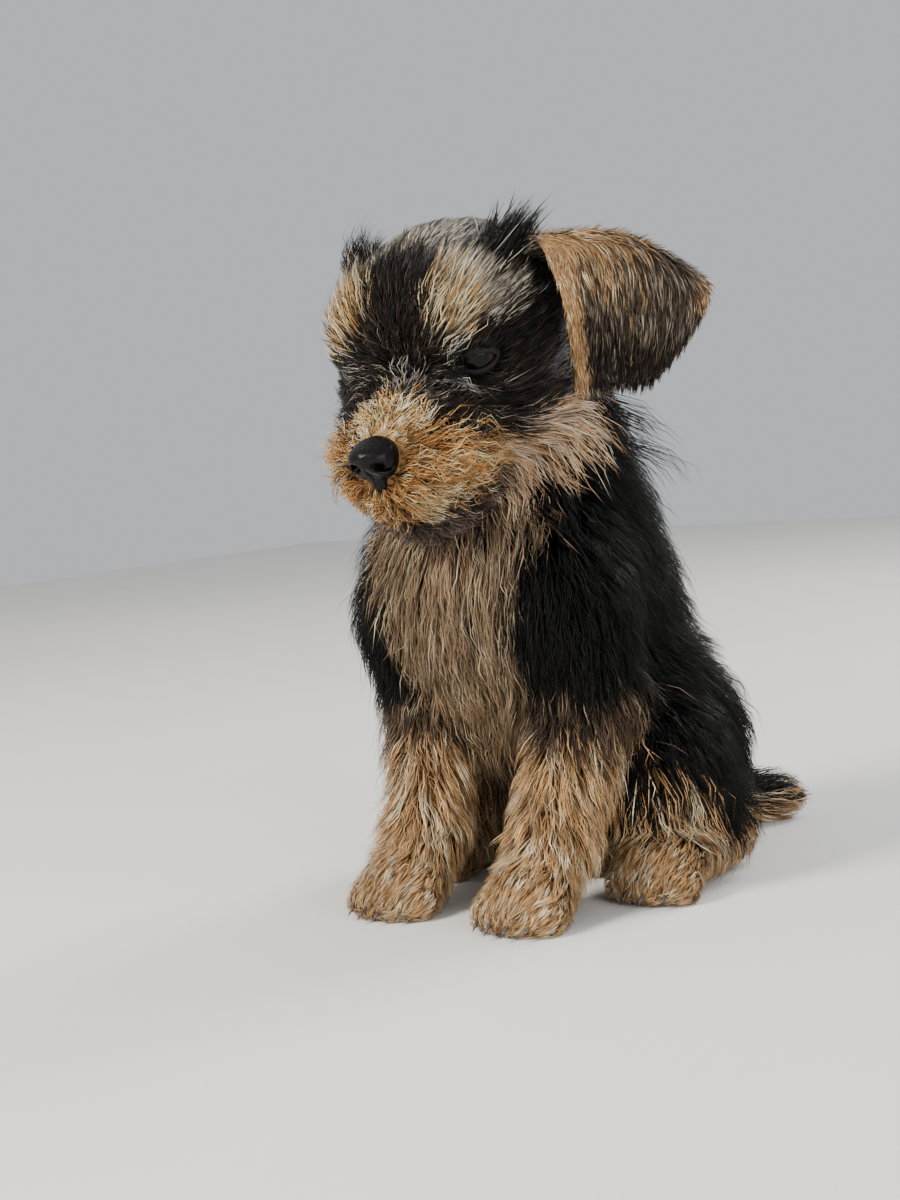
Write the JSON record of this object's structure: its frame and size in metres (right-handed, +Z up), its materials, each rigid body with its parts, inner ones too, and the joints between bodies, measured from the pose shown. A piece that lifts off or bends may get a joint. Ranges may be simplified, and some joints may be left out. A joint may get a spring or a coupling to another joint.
{
  "type": "yorkshire terrier puppy",
  "caption": "Life-size Yorkshire terrier puppy sitting upright, black and tan, fluffy coat in flat tapered locks, head turned a little to its left and bowed, soft folded ears.",
  "frame": {"origin": "on the floor, under the middle of the bounding box", "axes": "+Z up; the puppy's body faces -Y; its left side is +X"},
  "size_m": [0.1198, 0.1818, 0.1937],
  "materials": {
    "coat_black": "soft hair, black with grey ends",
    "coat_tan": "soft hair, tan",
    "eye": "wet dark brown",
    "nose_leather": "fine grained, moist black"
  },
  "bodies": {
    "root": {"torso": "coat_black", "neck": "coat_black", "head": "coat_tan", "jaw": "coat_tan", "tail": "coat_black", "foreleg_left": "coat_tan", "foreleg_right": "coat_tan", "forepaw_left": "coat_tan", "forepaw_right": "coat_tan", "hindleg_left": "coat_black", "hindleg_right": "coat_black", "hindpaw_left": "coat_tan", "hindpaw_right": "coat_tan", "eye_left": "eye", "eye_right": "eye", "nose": "nose_leather", "ear_left": "coat_black", "ear_right": "coat_black"}
  },
  "joints": []
}
